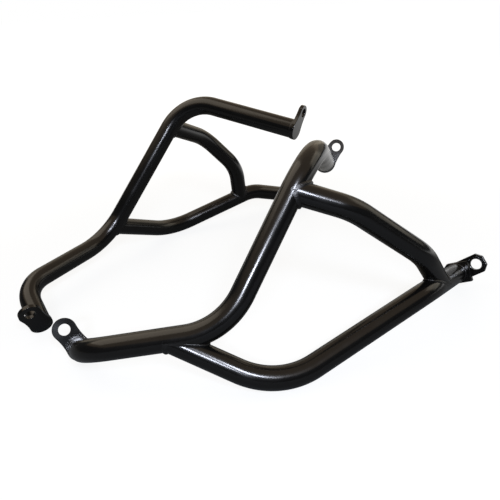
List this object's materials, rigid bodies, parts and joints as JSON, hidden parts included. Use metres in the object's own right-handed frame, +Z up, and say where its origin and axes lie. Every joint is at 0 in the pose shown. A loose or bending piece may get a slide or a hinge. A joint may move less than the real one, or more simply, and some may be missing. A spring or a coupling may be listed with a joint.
{
  "type": "motorcycle crash bars",
  "caption": "Left and right motorcycle crash bars of bent, welded round tube, each a hoop with a side run and a brace, bolted beside the engine through drilled plate lugs.",
  "frame": {"origin": "On the floor, under the middle of the box around the two bars.", "axes": "+X to the rear of the bike, +Y to its right, +Z up; the bars stand on the floor as they do in the picture."},
  "size_m": [0.541, 0.4554, 0.2339],
  "materials": {
    "black_powder_coat": "semi-gloss powder coat"
  },
  "bodies": {
    "root": {"left_hoop_tube": "black_powder_coat", "left_side_tube": "black_powder_coat", "left_brace_tube": "black_powder_coat", "left_side_weld": "black_powder_coat", "left_brace_upper_weld": "black_powder_coat", "left_brace_lower_weld": "black_powder_coat", "left_lower_lug": "black_powder_coat", "left_upper_lug": "black_powder_coat", "left_rear_plate": "black_powder_coat", "left_rear_lug": "black_powder_coat", "left_lower_lug_weld": "black_powder_coat", "left_upper_lug_weld": "black_powder_coat", "left_rear_plate_weld": "black_powder_coat", "right_hoop_tube": "black_powder_coat", "right_side_tube": "black_powder_coat", "right_brace_tube": "black_powder_coat", "right_side_weld": "black_powder_coat", "right_brace_upper_weld": "black_powder_coat", "right_brace_lower_weld": "black_powder_coat", "right_lower_lug": "black_powder_coat", "right_upper_lug": "black_powder_coat", "right_rear_plate": "black_powder_coat", "right_rear_lug": "black_powder_coat", "right_lower_lug_weld": "black_powder_coat", "right_upper_lug_weld": "black_powder_coat", "right_rear_plate_weld": "black_powder_coat"}
  },
  "joints": []
}
